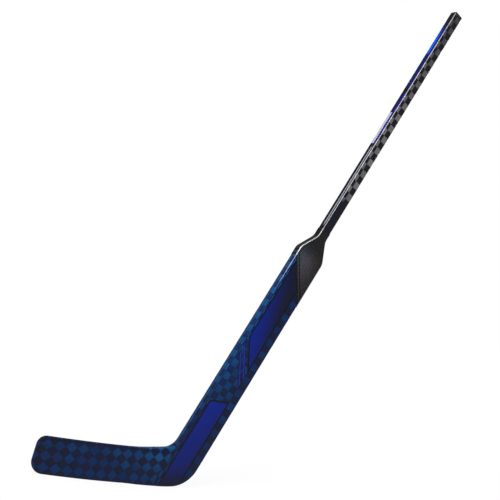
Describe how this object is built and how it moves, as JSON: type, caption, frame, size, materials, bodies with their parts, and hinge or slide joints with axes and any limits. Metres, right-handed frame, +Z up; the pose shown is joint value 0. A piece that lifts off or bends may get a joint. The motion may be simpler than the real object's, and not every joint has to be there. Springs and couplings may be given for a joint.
{
  "type": "hockey goalie stick",
  "caption": "Hockey goalie stick: curved laminated blade, wide foam-cored paddle, ribbed shoulder cover and a hollow rectangular shaft closed by a plug that pulls out.",
  "frame": {"origin": "on the flat sole of the blade, in the paddle's middle plane, just toe-ward of the rounded heel", "axes": "+Z up with the sole on the ice, toe towards -X, shaft rising towards +X, +Y through the thickness to the concave side of the blade"},
  "size_m": [0.9412, 0.0427, 1.3513],
  "materials": {
    "check_carbon": "dark blue chequered carbon laminate under gloss lacquer",
    "plain_carbon": "bare black carbon laminate",
    "foam": "rigid closed-cell foam",
    "rubber_cover": "fine-ribbed black rubber",
    "shaft_carbon": "black and grey chequered carbon laminate under gloss lacquer",
    "plug_plastic": "moulded black plastic"
  },
  "bodies": {
    "stick": {"blade_front_skin": "check_carbon", "blade_back_skin": "check_carbon", "blade_edge_wrap": "check_carbon", "blade_upper_core": "foam", "blade_lower_core": "foam", "blade_rib": "plain_carbon", "heel_tongue": "plain_carbon", "paddle_front_skin": "check_carbon", "paddle_back_skin": "check_carbon", "paddle_toe_rail": "check_carbon", "paddle_heel_rail": "check_carbon", "paddle_toe_core": "foam", "paddle_heel_core": "foam", "paddle_spine": "plain_carbon", "shoulder_block": "plain_carbon", "shaft_tenon": "plain_carbon", "shoulder_grip": "rubber_cover", "shaft_tube": "shaft_carbon"},
    "plug": {"end_plug": "plug_plastic"}
  },
  "joints": [
    {"name": "plug_pull", "type": "slide", "parent": "stick", "child": "plug", "axis": [0.4003, 0, 0.9164], "range_m": [0, 0.046]}
  ]
}
